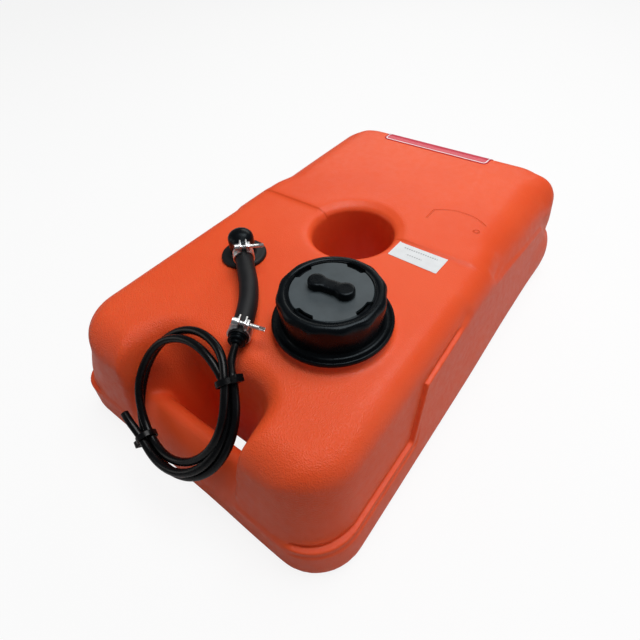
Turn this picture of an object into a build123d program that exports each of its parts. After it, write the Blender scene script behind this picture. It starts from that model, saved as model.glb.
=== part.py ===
"""Portable outboard fuel tank with a vented filler cap, an outlet elbow and a coiled fuel line.

Millimetres, +Z up. The tank stands on Z = 0, centred on the origin, with its carrying bar at -Y.
"""
import os
from math import cos, pi, radians, sin, tan

from build123d import *

# ---- Tank body -------------------------------------------------------------
tank_length = 484.0        # along Y, at the foot
tank_width = 306.0         # along X, at the foot
tank_height = 116.0        # floor to the rear deck
wall = 4.0                 # blow-moulded polyethylene
side_draft = 6.0           # degrees
end_draft = 3.0            # degrees
plan_corner = 42.0         # radius of the tub's upright corners
hood_corner = 46.0         # radius of the upper body's corners
foot_round = 8.0           # rounding where the sides meet the floor
deck_step = 2.0            # the front deck lies this much below the rear deck
step_y = 26.0              # where the two decks meet
side_ledge = 3.5           # the upper body stands in from the tub at the sides
rear_ledge = 3.0
front_lean = 12.0          # the upper body's front face leans back this much more than its rear
ledge_depth = 20.0         # the ledge along the rear lies this far below the rear deck
ledge_sag = 8.0            # further depth to which it has sunk where it drops
low_ledge = 38.0           # height of the ledge round the front corners
ledge_drop_from = -92.0    # the ledge drops from here ...
ledge_drop_to = -116.0     # ... to its low level here
rear_shoulder = 25.0       # shoulder radius of the rear deck
front_shoulder = 22.0      # shoulder radius of the front deck, at the sides
front_roll = 34.0          # its radius over the front face
saddle_from = -16.0        # flush saddles that break the ledge on both sides
saddle_to = 40.0
saddle_round = 6.0
saddle_base = 60.0
hood_base = 24.0           # the hood is merged into the tub from this height up

# ---- Column through the middle ---------------------------------------------
column_y = 14.9
column_radius = 41.0
column_rim = 9.0           # rounding of the top rim
column_foot_rim = 4.0

# ---- Hand opening and carrying bar -----------------------------------------
hand_back_half = 64.0      # half width at its back, on the deck ...
hand_mouth_half = 74.0     # ... and where it opens through the front face
hand_depth = 70.0          # from the front face to its back wall, on the deck
hand_floor_half = 19.0     # the same three at the floor
hand_floor_mouth = 60.0
hand_floor_depth = 55.0
hand_floor_shift = 12.0    # the hole through the floor lies this far towards +X
hand_corner = 26.0         # plan radius of its back corners, on the deck and at the floor
hand_floor_corner = 14.0
hand_rim = 18.0            # rounding of its rim on the deck
bar_depth = 35.0
bar_drop = 52.0            # the bar's top lies this far below the front deck
bar_back_round = 11.0
bar_nose = 23.0            # depth over which the bar's top rolls down to the front face
bar_nose_foot = 17.0       # height at which it meets that face
bar_nose_radius = 52.0
rim_lift = 0.3             # start of a rim's rounding above the deck, so that no face is tangent

# ---- Filler ----------------------------------------------------------------
filler_x = 60.3
filler_back = 140.4        # distance of its centre behind the front face
boss_radius = 46.5
boss_height = 7.0
boss_foot = 4.5            # fillet between the boss and the deck
neck_radius = 36.0
neck_bore = 31.5
neck_height = 18.0         # above the boss
gasket_thickness = 2.0
thread_gap = 0.5
seat_gap = 0.1

cap_radius = 41.6
cap_taper = 1.6            # the drum is this much slimmer at its foot
cap_height = 32.4
cap_ceiling = 2.5
cap_edge = 3.5
cap_lobes = 12
lobe_depth = 1.1
groove_radius = 20.8       # of the finger grooves between the lobes
flange_radius = 48.5
flange_bead = 2.4          # radius of the rolled rim
flange_skirt = 2.2
dish_radius = 45.0

insert_radius = 32.0
insert_thickness = 2.5
insert_seat = 2.0          # width of the step that carries it
insert_gap = 0.2
insert_sink = 0.6          # it lies this far below the cap's rim
slot_count = 4
slot_depth = 3.4
slot_inside = 1.1          # the slots' middle line lies this far inside the insert's edge
slot_angle = 32.0          # degrees of arc of each slot
slot_first = 86.0          # direction of the first slot

knob_length = 38.0
knob_width = 15.0
knob_waist = 11.0
knob_height = 12.5
knob_edge = 2.75           # rounding of its top
knob_angle = 14.0
knob_gap = 0.4
spindle_radius = 3.5
spindle_gap = 0.05
vent_hole = 3.0
seal_radius = 9.0
seal_thickness = 2.0

# ---- Outlet ----------------------------------------------------------------
outlet_x = -64.0
outlet_back = 167.0        # distance of its centre behind the front face
outlet_heading = -40.5     # degrees from +X, direction in which the elbow points
outlet_dip = 12.0          # degrees below the horizontal
grommet_radius = 21.5
grommet_height = 4.2
grommet_throat = 11.0
grommet_lip = 13.5
grommet_bore = 8.0
elbow_radius = 12.0
elbow_centre = 20.5        # height of the elbow's centre above the deck
elbow_dome = 8.2           # height of the domed top above that centre
elbow_dome_foot = 1.5      # height at which the dome begins
elbow_dome_radius = 15.0
elbow_barb = 5.95          # radius of the spout inside the hose
elbow_shoulder = 2.6       # length of the collar between the dome and the hose
elbow_bore = 4.0
elbow_reach = 27.0
pickup_radius = 5.0
pickup_bore = 3.5
strainer_radius = 8.0
strainer_height = 16.0
strainer_wall = 1.2
strainer_clearance = 3.0   # above the inside floor

# ---- Fuel lines ------------------------------------------------------------
hose_radius = 8.2
hose_bore = 6.0
hose_straight = 23.5       # first run, over the elbow's barb
hose_waypoints = ((47.0, -39.6, -8.5), (64.2, -61.2, -10.2), (77.1, -84.9, -10.3))  # from the elbow
line_radius = 3.25
lead_straight = 11.0       # first run of the thin line, out of the reducer
lead_waypoint = (91.3, -107.8, -10.7)    # from the elbow
tail_stations = ((-121.5, 53.7, 4.0), (-129.0, 55.2, 6.5), (-136.0, 58.2, 7.8), (-142.5, 62.2, 8.0))
coil_radius = 52.2
coil_section = 7.0         # radius of the bundle of turns
coil_offset = (62.3, -141.0, -41.7)      # its centre, from the elbow
coil_normal = (-0.090, -0.748, 0.658)
tie_upper_angle = 45.0     # places of the ties round the coil, from its +X side
tie_lower_angle = -118.0
reducer_collar = (7.2, 5.0)    # radius and length
reducer_nose = (4.8, 2.5)
reducer_barb = 12.5        # length of its spout inside the hose
line_bore = 1.8
line_seat = 6.5            # depth to which the line enters the reducer
clamp_width = 9.0
clamp_band = 0.9
clamp_ear = 7.5            # height of the ears above the hose
clamp_axis = 3.5           # height of the screw above the hose
clamp_gap = 4.0            # between the ears
clamp_upper_at = 22.0      # from the elbow's centre
clamp_lower_at = 4.8       # from the far end of the hose
screw_radius = 1.9
screw_length = 25.0
screw_head_radius = 3.1
screw_overhang = 3.0       # length of its head, beside the ears
screw_cross = (4.4, 1.3)   # length of the cross recess's arms, and its depth
screw_gap = 0.05
nut_size = (6.0, 2.6)
tie_width = 4.6
tie_thickness = 1.3
tie_gap = 0.3
tie_head = (8.0, 5.6, 6.4)     # across the strap, along the strap, outwards

# ---- Labels ----------------------------------------------------------------
label_size = (50.0, 25.0, 0.3)
label_corner = 1.0
label_centre = (74.6, 12.7)
label_turn = -1.5
band_width = 138.0
band_centre_x = -8.0
band_thickness = 0.4
band_gap = 0.08
band_flat = 9.0            # part of the band that lies on the rear deck
band_wrap = 62.0           # degrees that it follows the rear shoulder

# ---- Derived levels and places ---------------------------------------------
front_deck = tank_height - deck_step
high_ledge = tank_height - ledge_depth
mid_ledge = high_ledge - ledge_sag
bar_height = front_deck - bar_drop
hand_back = tank_length / 2 - hand_depth
hand_floor_back = tank_length / 2 - hand_floor_depth
filler_y = filler_back - tank_length / 2
outlet_y = outlet_back - tank_length / 2
side_slope = tan(radians(side_draft))
end_slope = tan(radians(end_draft))
boss_top = front_deck + boss_height
neck_top = boss_top + neck_height
clear = 5.0                # how far cutting tools reach past the faces they open


def plan(height, inset, corner, side=0.0, rear=0.0, front=0.0):
    """Outline of the drafted body at a height, set in all round and further at the sides and ends."""
    with BuildSketch(Plane.XY.offset(height)) as sketch:
        with Locations((0, (front - rear) / 2)):
            RectangleRounded(
                tank_width - 2 * (side_slope * height + inset + side),
                tank_length - 2 * (end_slope * height + inset) - rear - front,
                corner - inset,
            )
    return sketch.sketch


def tub(skin):
    """Drafted lower body, its rim cut down to the ledge."""
    reach = tank_length
    with BuildPart() as body:
        add(plan(skin, skin, plan_corner))
        add(plan(tank_height - skin, skin, plan_corner))
        loft()
        fillet(body.faces().sort_by(Axis.Z)[0].edges(), foot_round - skin / 2)
        with BuildSketch(Plane.YZ.offset(-tank_width)):
            with BuildLine():
                Polyline(
                    (reach, high_ledge - skin), (saddle_from, high_ledge - skin),
                    (ledge_drop_from, mid_ledge - skin),
                    (ledge_drop_to, low_ledge - skin), (-reach, low_ledge - skin),
                    (-reach, reach), (reach, reach), close=True,
                )
            make_face()
        extrude(amount=2 * tank_width, mode=Mode.SUBTRACT)
    return body.part


def hood(skin, deck, shoulder, start_y):
    """Upper body behind start_y, set in from the tub and rounded over to its deck."""
    with BuildPart() as body:
        add(plan(hood_base + skin, skin, hood_corner, side_ledge, rear_ledge))
        add(plan(deck - skin, skin, hood_corner, side_ledge, rear_ledge, front_lean))
        loft()
        fillet(body.faces().sort_by(Axis.Z)[-1].edges(), shoulder - skin)
        split(bisect_by=Plane.XZ.offset(-start_y - skin), keep=Keep.BOTTOM)
    return body.part


def roll_tool(skin):
    """What the large rounding over the front face takes off the hood."""
    radius = front_roll - skin
    top = front_deck - skin
    foot = hood_base + skin
    lean = front_lean * (top - radius - foot) / (top - foot)
    face = -tank_length / 2 + skin + end_slope * (top - radius) + lean
    with BuildPart() as tool:
        with BuildSketch(Plane.YZ.offset(-tank_width)):
            with BuildLine():
                RadiusArc((face, top - radius), (face + radius, top + rim_lift), radius)
                Polyline((face + radius, top + rim_lift), (face + radius, top + clear),
                         (face - clear, top + clear), (face - clear, top - radius), (face, top - radius))
            make_face()
        extrude(amount=2 * tank_width)
    return tool.part


def saddles(skin):
    """The two places where the hood bulges out flush with the tub."""
    def side_at(height):
        return tank_width / 2 - skin - side_slope * height

    top = front_deck - skin
    with BuildPart() as body:
        with BuildSketch(Plane.XZ.offset(-saddle_to + skin)) as profile:
            with BuildLine():
                Polyline(
                    (-side_at(saddle_base), saddle_base), (side_at(saddle_base), saddle_base),
                    (side_at(top), top), (-side_at(top), top), close=True,
                )
            make_face()
            fillet(profile.vertices().group_by(Axis.Y)[-1], rear_shoulder - skin)
        extrude(amount=saddle_to - saddle_from - 2 * skin)
        ends = body.faces().sort_by(Axis.Y)
        outline = ends[0].edges() + ends[-1].edges()
        fillet(outline.filter_by(lambda e: e.center().Z > saddle_base + clear), saddle_round)
    return body.part


def column_tool(skin):
    """Round passage through the tank with its two rounded rims."""
    radius = column_radius + skin
    rim, foot = column_rim - skin, column_foot_rim - skin / 2
    top, floor = front_deck - skin, skin
    with BuildPart() as tool:
        with BuildSketch(Plane.XZ):
            with BuildLine():
                line = Polyline((0, floor - clear), (radius + foot, floor - clear), (radius + foot, floor))
                RadiusArc(line @ 1, (radius, floor + foot), foot)
                Line((radius, floor + foot), (radius, top - rim))
                RadiusArc((radius, top - rim), (radius + rim, top), rim)
                Polyline(
                    (radius + rim, top), (radius + rim + deck_step, top + deck_step),
                    (radius + rim + deck_step, top + clear), (0, top + clear), (0, floor - clear),
                )
            make_face()
        revolve(axis=Axis.Z)
    return tool.part.moved(Location((0, column_y, 0)))


def slot_section(height, half, mouth, back, corner, shift=0.0):
    """Outline of the hand opening at a height, open beyond the front face."""
    front_y = -tank_length / 2
    with BuildSketch(Plane.XY.offset(height)) as sketch:
        with BuildLine():
            Polyline(
                (shift - half, -back), (shift + half, -back), (mouth, front_y), (mouth, front_y - hand_back),
                (-mouth, front_y - hand_back), (-mouth, front_y), close=True,
            )
        make_face()
        fillet(sketch.vertices().group_by(Axis.Y)[-1], corner)
    return sketch.sketch


def hand_tool(skin):
    """Hand opening: a slot that closes in towards the floor, cut away round the carrying bar."""
    front_y = -tank_length / 2
    top = front_deck - skin + rim_lift
    outline = slot_section(top, hand_back_half + skin, hand_mouth_half + skin, hand_back - skin,
                           hand_corner + skin)
    with BuildPart() as slot:
        add(slot_section(skin - clear, hand_floor_half + skin, hand_floor_mouth + skin,
                         hand_floor_back - skin, hand_floor_corner + skin, hand_floor_shift))
        add(outline)
        loft()
        with BuildSketch(Plane.XY.offset(top)):
            offset(outline, amount=hand_rim + clear)
        extrude(amount=hand_rim)
        under = slot.faces().filter_by(Axis.Z).filter_by(lambda f: len(f.inner_wires()) == 1)
        fillet(under[0].inner_wires()[0].edges(), hand_rim - skin)

    bar_back = front_y + bar_depth - skin
    bar_top = bar_height - skin
    back_round = bar_back_round - skin
    nose_foot = (front_y + skin + end_slope * bar_nose_foot, bar_nose_foot)
    nose_top = (front_y + bar_nose, bar_top)
    with BuildPart() as bar:
        with BuildSketch(Plane.YZ.offset(-tank_width / 2)):
            with BuildLine():
                Polyline(
                    nose_foot, (front_y + skin, skin), (front_y + skin, skin - 2 * clear),
                    (bar_back, skin - 2 * clear), (bar_back, bar_top - back_round),
                )
                RadiusArc((bar_back, bar_top - back_round), (bar_back - back_round, bar_top), -back_round)
                Line((bar_back - back_round, bar_top), nose_top)
                RadiusArc(nose_top, nose_foot, -bar_nose_radius)
            make_face()
        extrude(amount=tank_width)
    with BuildPart() as tool:
        add(slot.part)
        add(bar.part, mode=Mode.SUBTRACT)
    return tool.part


def moulding(skin):
    """The outside of the moulded tank for skin = 0; the fuel space inside it for skin = wall."""
    with BuildPart() as form:
        add(tub(skin))
        add(hood(skin, front_deck, front_shoulder, -tank_length))
        add(roll_tool(skin), mode=Mode.SUBTRACT)
        add(hood(skin, tank_height, rear_shoulder, step_y))
        add(saddles(skin))
        add(column_tool(skin), mode=Mode.SUBTRACT)
        add(hand_tool(skin), mode=Mode.SUBTRACT)
    return form.part


def revolved(outline, x=0.0, y=0.0):
    """Solid of revolution of (radius, height) points about an upright axis at x, y."""
    with BuildPart() as body:
        with BuildSketch(Plane.XZ):
            with BuildLine():
                Polyline(*outline, close=True)
            make_face()
        revolve(axis=Axis.Z)
    return body.part.moved(Location((x, y, 0)))


def finish(piece, label):
    """Name a finished piece and write its file."""
    piece.label = label
    export_step(piece, f"parts/{label}.step")


os.makedirs("parts", exist_ok=True)

# ---- tank_shell: hollow moulding with column, carrying bar, filler neck and outlet hole ----
tank_outside = moulding(0)
fuel_space = moulding(wall)
with BuildPart() as tank_shell:
    add(tank_outside)
    with Locations((filler_x, filler_y, front_deck - wall)):
        Cylinder(boss_radius, boss_height + wall, align=(Align.CENTER, Align.CENTER, Align.MIN))
    foot = tank_shell.edges().filter_by(GeomType.CIRCLE).filter_by(
        lambda e: abs(e.radius - boss_radius) < rim_lift and abs(e.center().Z - front_deck) < rim_lift
    )
    fillet(foot, boss_foot)
    with Locations((filler_x, filler_y, front_deck)):
        Cylinder(neck_radius, neck_top - front_deck, align=(Align.CENTER, Align.CENTER, Align.MIN))
    add(fuel_space, mode=Mode.SUBTRACT)
    with Locations((filler_x, filler_y, front_deck - wall - clear)):
        Cylinder(neck_bore, neck_top - front_deck + wall + 2 * clear,
                 align=(Align.CENTER, Align.CENTER, Align.MIN), mode=Mode.SUBTRACT)
    with Locations((outlet_x, outlet_y, front_deck - wall - clear)):
        Cylinder(grommet_throat, wall + 2 * clear,
                 align=(Align.CENTER, Align.CENTER, Align.MIN), mode=Mode.SUBTRACT)
finish(tank_shell.part, "tank_shell")

# ---- Filler cap: lobed drum, dished flange with a rolled rim, recess for the insert ----
cap_foot = boss_top + seat_gap + rim_lift
cap_top = cap_foot + cap_height
cap_bore = neck_radius + thread_gap
ceiling = neck_top + gasket_thickness + 2 * seat_gap
ceiling_top = ceiling + cap_ceiling
insert_top = cap_top - insert_sink
insert_base = insert_top - insert_thickness
bead_top = cap_foot + 2 * flange_bead
with BuildPart() as filler_cap:
    with BuildSketch(Plane.XZ):
        with BuildLine():
            Polyline((vent_hole, ceiling), (cap_bore, ceiling), (cap_bore, cap_foot),
                     (flange_radius - flange_bead, cap_foot))
            ThreePointArc((flange_radius - flange_bead, cap_foot), (flange_radius, cap_foot + flange_bead),
                          (flange_radius - flange_bead, bead_top))
            Spline(
                (flange_radius - flange_bead, bead_top), (dish_radius - flange_bead, cap_foot + flange_skirt),
                (cap_radius - cap_taper, cap_foot + flange_skirt + flange_bead),
                tangents=((-1, 0), (0, 1)),
            )
            Line((cap_radius - cap_taper, cap_foot + flange_skirt + flange_bead),
                 (cap_radius, cap_top - cap_edge))
            RadiusArc((cap_radius, cap_top - cap_edge), (cap_radius - cap_edge, cap_top), -cap_edge)
            Polyline(
                (cap_radius - cap_edge, cap_top), (insert_radius + insert_gap, cap_top),
                (insert_radius + insert_gap, insert_base), (insert_radius - insert_seat, insert_base),
                (insert_radius - insert_seat, ceiling_top), (vent_hole, ceiling_top), (vent_hole, ceiling),
            )
        make_face()
    revolve(axis=Axis.Z)
    groove_foot = bead_top + lobe_depth
    with Locations((0, 0, groove_foot)):
        with PolarLocations(cap_radius + groove_radius - lobe_depth, cap_lobes):
            Cylinder(groove_radius, cap_height, align=(Align.CENTER, Align.CENTER, Align.MIN),
                     mode=Mode.SUBTRACT)
filler_cap.part = filler_cap.part.moved(Location((filler_x, filler_y, 0)))
finish(filler_cap.part, "filler_cap")

# ---- Cap insert: round disc with arc slots in its edge ----
with BuildPart() as cap_insert:
    with BuildSketch(Plane.XY.offset(insert_base)):
        Circle(insert_radius)
        Circle(spindle_radius + spindle_gap, mode=Mode.SUBTRACT)
        for turn in range(slot_count):
            with BuildLine(mode=Mode.PRIVATE) as slot_line:
                CenterArc((0, 0), insert_radius - slot_inside,
                          slot_first - slot_angle / 2 + turn * 360 / slot_count, slot_angle)
            SlotArc(slot_line.wire(), slot_depth, mode=Mode.SUBTRACT)
    extrude(amount=insert_thickness)
cap_insert.part = cap_insert.part.moved(Location((filler_x, filler_y, 0)))
finish(cap_insert.part, "cap_insert")

# ---- Vent: peanut knob, threaded spindle with its pressing flange, seal ----
knob_base = insert_top + knob_gap
seal_base = ceiling_top + seat_gap
seal_top = seal_base + seal_thickness
with BuildPart() as vent_knob:
    with BuildSketch(Plane.XY.offset(knob_base)) as peanut:
        with Locations((-(knob_length - knob_width) / 2, 0), ((knob_length - knob_width) / 2, 0)):
            Circle(knob_width / 2)
        Rectangle(knob_length - knob_width, knob_waist)
        fillet(peanut.vertices(), knob_width / 2)
    extrude(amount=knob_height)
    fillet(vent_knob.faces().sort_by(Axis.Z)[-1].edges(), knob_edge)
vent_knob.part = vent_knob.part.moved(Location((filler_x, filler_y, 0), (0, 0, knob_angle)))
finish(vent_knob.part, "vent_knob")

flange_top = seal_top + seat_gap + seal_thickness
vent_spindle = revolved([
    (0, seal_base + seat_gap), (spindle_radius, seal_base + seat_gap), (spindle_radius, seal_top + seat_gap),
    (seal_radius - seal_thickness, seal_top + seat_gap), (seal_radius - seal_thickness, flange_top),
    (spindle_radius, flange_top), (spindle_radius, knob_base), (0, knob_base),
], filler_x, filler_y)
finish(vent_spindle, "vent_spindle")

vent_seal = revolved([
    (spindle_radius + spindle_gap, seal_base), (seal_radius, seal_base),
    (seal_radius, seal_top), (spindle_radius + spindle_gap, seal_top),
], filler_x, filler_y)
finish(vent_seal, "vent_seal")

cap_gasket = revolved([
    (neck_bore, neck_top + seat_gap), (neck_radius, neck_top + seat_gap),
    (neck_radius, ceiling - seat_gap), (neck_bore, ceiling - seat_gap),
], filler_x, filler_y)
finish(cap_gasket, "cap_gasket")

# ---- Outlet grommet: rubber disc on the deck, throat through the wall, lip below it ----
inner_deck = front_deck - wall
grommet_top = front_deck + grommet_height
outlet_grommet = revolved([
    (grommet_bore, inner_deck - grommet_height), (grommet_throat, inner_deck - grommet_height),
    (grommet_lip, inner_deck), (grommet_throat, inner_deck), (grommet_throat, front_deck),
    (grommet_radius, front_deck), (grommet_radius, front_deck + grommet_height / 2),
    (grommet_radius - grommet_height / 2, grommet_top), (grommet_bore, grommet_top),
], outlet_x, outlet_y)
finish(outlet_grommet, "outlet_grommet")

# ---- Outlet elbow: leg through the grommet, domed corner, barb for the hose ----
corner = Vector(outlet_x, outlet_y, front_deck + elbow_centre)
dip, heading = radians(outlet_dip), radians(outlet_heading)
outward = Vector(cos(dip) * cos(heading), cos(dip) * sin(heading), -sin(dip))
outlet_plane = Plane(origin=corner, z_dir=outward)
hose_start = elbow_radius + elbow_shoulder
leg_foot = inner_deck - 2 * grommet_height
with BuildPart() as elbow_body:
    with BuildSketch(Plane.XZ.offset(-outlet_y)):
        with BuildLine():
            wall_line = Polyline((outlet_x, corner.Z + elbow_dome), (outlet_x, grommet_top),
                                 (outlet_x + elbow_radius, grommet_top),
                                 (outlet_x + elbow_radius, corner.Z + elbow_dome_foot))
            RadiusArc(wall_line @ 1, wall_line @ 0, -elbow_dome_radius)
        make_face()
    revolve(axis=Axis((outlet_x, outlet_y, 0), (0, 0, 1)))
with BuildPart() as outlet_elbow:
    with Locations((outlet_x, outlet_y, leg_foot)):
        Cylinder(grommet_bore, corner.Z - leg_foot, align=(Align.CENTER, Align.CENTER, Align.MIN))
    add(elbow_body.part)
    with BuildSketch(outlet_plane):
        Circle(hose_radius)
    extrude(amount=hose_start)
    with BuildSketch(outlet_plane):
        Circle(elbow_barb)
    extrude(amount=elbow_reach)
    with BuildSketch(outlet_plane):
        Circle(elbow_bore)
    extrude(amount=elbow_reach + clear, mode=Mode.SUBTRACT)
    with Locations((outlet_x, outlet_y, leg_foot - clear)):
        Cylinder(elbow_bore, corner.Z - leg_foot + clear,
                 align=(Align.CENTER, Align.CENTER, Align.MIN), mode=Mode.SUBTRACT)
    with Locations((outlet_x, outlet_y, leg_foot - clear)):
        Cylinder(pickup_radius, clear + grommet_height * 2,
                 align=(Align.CENTER, Align.CENTER, Align.MIN), mode=Mode.SUBTRACT)
finish(outlet_elbow.part, "outlet_elbow")

# ---- Pickup tube and its strainer, down to the floor of the tank ----
pickup_top = leg_foot + grommet_height * 2
strainer_foot = wall + strainer_clearance
strainer_top = strainer_foot + strainer_height
pickup_foot = strainer_foot + strainer_height / 2
pickup_tube = revolved([
    (pickup_bore, pickup_foot), (pickup_radius, pickup_foot), (pickup_radius, pickup_top),
    (pickup_bore, pickup_top),
], outlet_x, outlet_y)
finish(pickup_tube, "pickup_tube")
pickup_strainer = revolved([
    (0, strainer_foot), (strainer_radius, strainer_foot), (strainer_radius, strainer_top),
    (pickup_radius, strainer_top), (pickup_radius, strainer_top - strainer_wall),
    (strainer_radius - strainer_wall, strainer_top - strainer_wall),
    (strainer_radius - strainer_wall, strainer_foot + strainer_wall), (0, strainer_foot + strainer_wall),
], outlet_x, outlet_y)
finish(pickup_strainer, "pickup_strainer")


# ---- Hoses: straight runs joined by tangent arcs ----
def tube_path(points):
    """Path through a hose's points, each corner rounded as far as its runs allow."""
    runs = [(b - a) for a, b in zip(points, points[1:])]
    radii = [
        0.45 * min(p.length, q.length) / tan(radians(p.get_angle(q)) / 2)
        for p, q in zip(runs, runs[1:])
    ]
    print("runs", [round(r.length, 1) for r in runs], "radii", [round(r, 1) for r in radii])
    with BuildLine() as path:
        FilletPolyline(*points, radius=radii)
    return path


def tube(points, outer, bore):
    """Round tube along a hose's points."""
    path = tube_path(points)
    start = Plane(origin=path.line @ 0, z_dir=path.line % 0)
    with BuildPart() as body:
        add(path.line)
        with BuildSketch(start):
            Circle(outer)
            Circle(bore, mode=Mode.SUBTRACT)
        sweep(path=path.wire())
    length = path.wire().length
    expected = length * pi * (outer ** 2 - bore ** 2)
    print("tube length", round(length, 1), "volume ratio", round(body.part.volume / expected, 4))
    return body.part


hose_from = corner + outward * hose_start
hose_points = [
    hose_from,
    corner + outward * (hose_start + hose_straight),
    *(corner + Vector(*point) for point in hose_waypoints),
]
fuel_hose = tube(hose_points, hose_radius, hose_bore)
finish(fuel_hose, "fuel_hose")


# ---- Hose clamps: band with two ears, cross-head screw and square nut ----
hose_end = hose_points[-1]
hose_exit = (hose_end - hose_points[-2]).normalized()


def across(point, along):
    """Plane square to a hose at a point: X to the nut's side, Y up, Z along the hose."""
    up = (Vector(0, 0, 1) - along * along.Z).normalized()
    return Plane(origin=point, x_dir=up.cross(along), z_dir=along)


clamp_places = {
    "upper": across(corner + outward * clamp_upper_at, outward),
    "lower": across(hose_end - hose_exit * clamp_lower_at, hose_exit),
}
ear_middle = hose_radius + clamp_axis
for side, place in clamp_places.items():
    cross = Plane(origin=place.from_local_coords((0, ear_middle, 0)), x_dir=place.z_dir, z_dir=place.x_dir)
    with BuildPart() as clamp_ring:
        with BuildSketch(place):
            Circle(hose_radius + clamp_band)
            with Locations((0, hose_radius + clamp_ear / 2)):
                Rectangle(clamp_gap + 2 * clamp_band, clamp_ear)
                Rectangle(clamp_gap, clamp_ear, mode=Mode.SUBTRACT)
            Circle(hose_radius, mode=Mode.SUBTRACT)
            with Locations((0, hose_radius)):
                Rectangle(clamp_gap, 2 * clamp_band, mode=Mode.SUBTRACT)
        extrude(amount=clamp_width / 2, both=True)
        with BuildSketch(cross):
            Circle(screw_radius + screw_gap)
        extrude(amount=clamp_gap, both=True, mode=Mode.SUBTRACT)
    finish(clamp_ring.part, f"clamp_band_{side}")

    ear_face = clamp_gap / 2 + clamp_band
    with BuildPart() as clamp_screw:
        with BuildSketch(cross.offset(-ear_face - screw_overhang)):
            Circle(screw_radius)
        extrude(amount=screw_length)
        with BuildSketch(cross.offset(-ear_face - screw_overhang)):
            Circle(screw_head_radius)
        extrude(amount=screw_overhang)
        with BuildSketch(cross.offset(-ear_face - screw_overhang)):
            Rectangle(screw_cross[0], clamp_band)
            Rectangle(clamp_band, screw_cross[0])
        extrude(amount=screw_cross[1], mode=Mode.SUBTRACT)
    finish(clamp_screw.part, f"clamp_screw_{side}")

    with BuildPart() as clamp_nut:
        with BuildSketch(cross.offset(ear_face)):
            RectangleRounded(nut_size[0], nut_size[0], clamp_band)
            Circle(screw_radius + screw_gap, mode=Mode.SUBTRACT)
        extrude(amount=nut_size[1])
    finish(clamp_nut.part, f"clamp_nut_{side}")

# ---- Reducer from the thick hose to the thin line ----
reducer_plane = Plane(origin=hose_end, z_dir=hose_exit)
outlet_length = reducer_collar[1] + reducer_nose[1]
with BuildPart() as hose_reducer:
    with BuildSketch(reducer_plane):
        Circle(reducer_collar[0])
    extrude(amount=reducer_collar[1])
    with BuildSketch(reducer_plane):
        Circle(elbow_barb)
    extrude(amount=-reducer_barb)
    with BuildSketch(reducer_plane):
        Circle(reducer_nose[0])
    extrude(amount=outlet_length)
    with BuildSketch(reducer_plane.offset(outlet_length - line_seat)):
        Circle(line_radius)
    extrude(amount=line_seat + clear, mode=Mode.SUBTRACT)
    with BuildSketch(reducer_plane.offset(-reducer_barb - clear)):
        Circle(line_bore)
    extrude(amount=reducer_barb + outlet_length + clear, mode=Mode.SUBTRACT)
finish(hose_reducer.part, "hose_reducer")

# ---- Thin fuel line: lead, coil and tail ----
coil_axis = Vector(*coil_normal).normalized()
coil_plane = Plane(
    origin=corner + Vector(*coil_offset), x_dir=(Vector(1, 0, 0) - coil_axis * coil_axis.X).normalized(), z_dir=coil_axis
)


def on_coil(angle, radius=coil_radius, height=0.0):
    """Point of the coil's circle at an angle from its +X side."""
    turn = radians(angle)
    return coil_plane.from_local_coords((radius * cos(turn), radius * sin(turn), height))


with BuildPart() as fuel_line_coil:
    with BuildSketch(Plane(origin=on_coil(0), x_dir=coil_plane.x_dir, z_dir=-coil_plane.y_dir)):
        Circle(coil_section)
    revolve(axis=Axis(coil_plane.origin, coil_plane.z_dir))
finish(fuel_line_coil.part, "fuel_line_coil")

lead_points = [
    hose_end + hose_exit * (outlet_length - line_seat),
    hose_end + hose_exit * (outlet_length - line_seat + lead_straight),
    corner + Vector(*lead_waypoint),
    on_coil(tie_upper_angle),
]
fuel_line_lead = tube(lead_points, line_radius, line_bore)
with BuildPart() as lead_end:
    add(fuel_line_lead)
    add(fuel_line_coil.part, mode=Mode.SUBTRACT)
finish(lead_end.part, "fuel_line_lead")

# each station is an angle round the coil, a radius and a height out of its plane
tail_points = [on_coil(*station) for station in tail_stations]
fuel_line_tail = tube(tail_points, line_radius, line_bore)
with BuildPart() as tail_end:
    add(fuel_line_tail)
    add(fuel_line_coil.part, mode=Mode.SUBTRACT)
finish(tail_end.part, "fuel_line_tail")

# ---- Cable ties round the coil ----
for name, angle in (("tie_upper", tie_upper_angle), ("tie_lower", tie_lower_angle)):
    middle = on_coil(angle)
    outwards = (middle - coil_plane.origin).normalized()
    strap_plane = Plane(origin=middle, x_dir=outwards, z_dir=outwards.cross(coil_plane.z_dir))
    strap_inside = coil_section + tie_gap
    with BuildPart() as tie:
        with BuildSketch(strap_plane):
            Circle(strap_inside + tie_thickness)
            Circle(strap_inside, mode=Mode.SUBTRACT)
        extrude(amount=tie_width / 2, both=True)
        with BuildSketch(strap_plane):
            with Locations((strap_inside + tie_head[2] / 2, 0)):
                RectangleRounded(tie_head[2], tie_head[0], tie_thickness)
        extrude(amount=tie_head[1] / 2, both=True)
    finish(tie.part, name)

# ---- Labels: small plate on the front deck, band over the rear shoulder ----
with BuildPart() as label_plate:
    with BuildSketch(Plane.XY.offset(front_deck)):
        with Locations(Location((label_centre[0], label_centre[1], 0), (0, 0, label_turn))):
            RectangleRounded(label_size[0], label_size[1], label_corner)
    extrude(amount=label_size[2])
finish(label_plate.part, "label_plate")

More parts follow.
